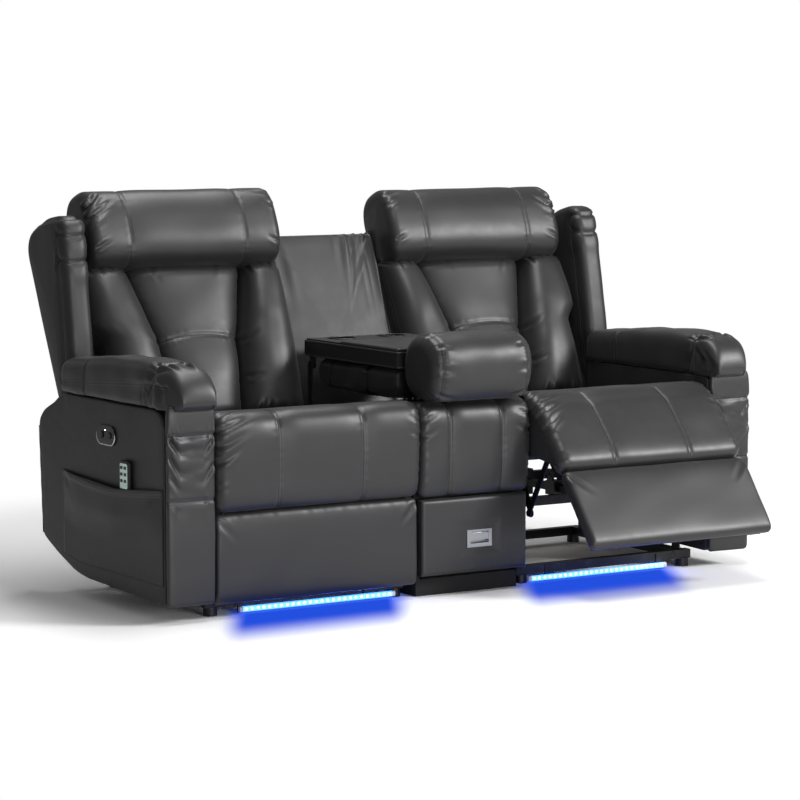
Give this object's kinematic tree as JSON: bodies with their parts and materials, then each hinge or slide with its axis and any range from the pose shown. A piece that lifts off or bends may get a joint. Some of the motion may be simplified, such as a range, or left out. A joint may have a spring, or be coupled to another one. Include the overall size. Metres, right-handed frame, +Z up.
{
  "type": "power reclining loveseat",
  "caption": "Power reclining two-seat sofa with a fold-down console between the seats, drawer, padded arms, flip-out footrests and light strips.",
  "frame": {"origin": "on the floor, in the middle of the plinth under the centre place", "axes": "+X to the viewer's right along the sofa, +Y to the rear, +Z up"},
  "size_m": [1.9054, 1.1984, 1.0697],
  "materials": {
    "leather": "fine-grained, soft sheen",
    "leather_panel": "fine-grained, stretched over board",
    "black_steel": "black powder coat",
    "plywood": "raw plywood",
    "carcass": "board under black lining cloth",
    "motor_plastic": "moulded",
    "switch_plastic": "gloss moulded",
    "button_plastic": "moulded",
    "light": "lit strip under clear sleeve",
    "lead": "sheathed lead",
    "handset_plastic": "moulded",
    "chrome": "brushed chrome plate",
    "runner_steel": "zinc plated"
  },
  "bodies": {
    "frame": {"left_arm": "leather_panel", "left_arm_front": "leather", "left_arm_pad": "leather", "left_pocket": "leather", "left_switch_plate": "switch_plastic", "left_base_frame": "black_steel", "left_light_strip": "light", "left_seat_deck": "plywood", "left_seat_cushion": "leather", "left_actuator": "motor_plastic", "right_arm": "leather_panel", "right_arm_front": "leather", "right_arm_pad": "leather", "right_pocket": "leather", "right_switch_plate": "switch_plastic", "right_base_frame": "black_steel", "right_light_strip": "light", "right_seat_deck": "plywood", "right_seat_cushion": "leather", "right_actuator": "motor_plastic", "rear_rail": "plywood", "light_lead": "lead", "middle_carcass": "carcass", "middle_seat": "leather", "middle_rear_panel": "leather_panel", "console_posts": "black_steel", "drawer_runners": "runner_steel", "power_inlet": "motor_plastic"},
    "left_back": {"left_back_shell": "leather_panel", "left_back_cushion": "leather", "left_headrest": "leather"},
    "left_flap": {"left_flap_frame": "black_steel", "left_flap_pad": "leather"},
    "left_footrest": {"left_footrest_board": "plywood", "left_footrest_pad": "leather"},
    "left_lift": {"left_lift_link": "black_steel"},
    "left_link": {"left_coupler": "black_steel"},
    "left_nut": {"left_drive_nut": "black_steel"},
    "left_open_button": {"left_button_open": "button_plastic"},
    "left_close_button": {"left_button_close": "button_plastic"},
    "right_back": {"right_back_shell": "leather_panel", "right_back_cushion": "leather", "right_headrest": "leather"},
    "right_flap": {"right_flap_frame": "black_steel", "right_flap_pad": "leather"},
    "right_footrest": {"right_footrest_board": "plywood", "right_footrest_pad": "leather"},
    "right_lift": {"right_lift_link": "black_steel"},
    "right_link": {"right_coupler": "black_steel"},
    "right_nut": {"right_drive_nut": "black_steel"},
    "right_open_button": {"right_button_open": "button_plastic"},
    "right_close_button": {"right_button_close": "button_plastic"},
    "console": {"console_frame": "leather_panel", "console_cushion": "leather", "console_pillow": "leather"},
    "drawer": {"drawer_box": "plywood", "drawer_front": "leather", "pull_plate": "chrome"},
    "pull": {"pull_flap": "chrome"},
    "handset": {"remote": "handset_plastic"}
  },
  "joints": [
    {"name": "left_recline", "type": "hinge", "parent": "frame", "child": "left_back", "pos_m": [-0.484, 0.15, 0.33], "axis": [-1, 0, 0], "range_deg": [0, 30]},
    {"name": "left_footrest_open", "type": "hinge", "parent": "frame", "child": "left_flap", "pos_m": [-0.484, -0.392, 0.504], "axis": [-1, 0, 0], "range_deg": [0, 88]},
    {"name": "left_footrest_tilt", "type": "hinge", "parent": "left_flap", "child": "left_footrest", "pos_m": [-0.484, -0.378, 0.271], "axis": [-1, 0, 0], "range_deg": [-11.71, 0.01]},
    {"name": "left_lift_turn", "type": "hinge", "parent": "frame", "child": "left_lift", "pos_m": [-0.484, -0.302, 0.346], "axis": [-1, 0, 0], "range_deg": [-0.01, 88.01]},
    {"name": "left_link_turn", "type": "hinge", "parent": "left_lift", "child": "left_link", "pos_m": [-0.484, -0.245, 0.196], "axis": [-1, 0, 0], "range_deg": [-88.01, 0.01]},
    {"name": "left_nut_slide", "type": "slide", "parent": "frame", "child": "left_nut", "axis": [0, -1, 0], "range_m": [-0.0001, 0.1502]},
    {"name": "left_open_button_press", "type": "slide", "parent": "frame", "child": "left_open_button", "axis": [1, 0, 0], "range_m": [0, 0.0015], "stiffness_N_per_m": 400, "springref_m": -0.001},
    {"name": "left_close_button_press", "type": "slide", "parent": "frame", "child": "left_close_button", "axis": [1, 0, 0], "range_m": [0, 0.0015], "stiffness_N_per_m": 400, "springref_m": -0.001},
    {"name": "right_recline", "type": "hinge", "parent": "frame", "child": "right_back", "pos_m": [0.484, 0.15, 0.33], "axis": [-1, 0, 0], "range_deg": [-3.5, 26.5]},
    {"name": "right_footrest_open", "type": "hinge", "parent": "frame", "child": "right_flap", "pos_m": [0.484, -0.392, 0.504], "axis": [-1, 0, 0], "range_deg": [-43, 45]},
    {"name": "right_footrest_tilt", "type": "hinge", "parent": "right_flap", "child": "right_footrest", "pos_m": [0.484, -0.54067, 0.32405], "axis": [-1, 0, 0], "range_deg": [-6, 5.73]},
    {"name": "right_lift_turn", "type": "hinge", "parent": "frame", "child": "right_lift", "pos_m": [0.484, -0.302, 0.346], "axis": [-1, 0, 0], "range_deg": [-43.01, 45.01]},
    {"name": "right_link_turn", "type": "hinge", "parent": "right_lift", "child": "right_link", "pos_m": [0.484, -0.36261, 0.19742], "axis": [-1, 0, 0], "range_deg": [-45.01, 43.01]},
    {"name": "right_nut_slide", "type": "slide", "parent": "frame", "child": "right_nut", "axis": [0, -1, 0], "range_m": [-0.0735, 0.0769]},
    {"name": "right_open_button_press", "type": "slide", "parent": "frame", "child": "right_open_button", "axis": [-1, 0, 0], "range_m": [0, 0.0015], "stiffness_N_per_m": 400, "springref_m": -0.001},
    {"name": "right_close_button_press", "type": "slide", "parent": "frame", "child": "right_close_button", "axis": [-1, 0, 0], "range_m": [0, 0.0015], "stiffness_N_per_m": 400, "springref_m": -0.001},
    {"name": "console_fold", "type": "hinge", "parent": "frame", "child": "console", "pos_m": [0, 0.179, 0.58], "axis": [-1, 0, 0], "range_deg": [0, 104]},
    {"name": "drawer_slide", "type": "slide", "parent": "frame", "child": "drawer", "axis": [0, -1, 0], "range_m": [0, 0.25]},
    {"name": "pull_lift", "type": "hinge", "parent": "drawer", "child": "pull", "pos_m": [0.013, -0.4027, 0.1645], "axis": [-1, 0, 0], "range_deg": [0, 70]},
    {"name": "handset_lift", "type": "slide", "parent": "frame", "child": "handset", "axis": [0, 0, 1], "range_m": [0, 0.13]}
  ],
  "couplings": [
    {"joint": "left_footrest_tilt", "follows": "left_footrest_open", "ratio": -0.133},
    {"joint": "left_lift_turn", "follows": "left_footrest_open", "ratio": 1},
    {"joint": "left_link_turn", "follows": "left_footrest_open", "ratio": -1},
    {"joint": "left_nut_slide", "follows": "left_footrest_open", "m_per_rad": 0.097663},
    {"joint": "right_footrest_tilt", "follows": "right_footrest_open", "ratio": -0.133},
    {"joint": "right_lift_turn", "follows": "right_footrest_open", "ratio": 1},
    {"joint": "right_link_turn", "follows": "right_footrest_open", "ratio": -1},
    {"joint": "right_nut_slide", "follows": "right_footrest_open", "m_per_rad": 0.097663}
  ]
}
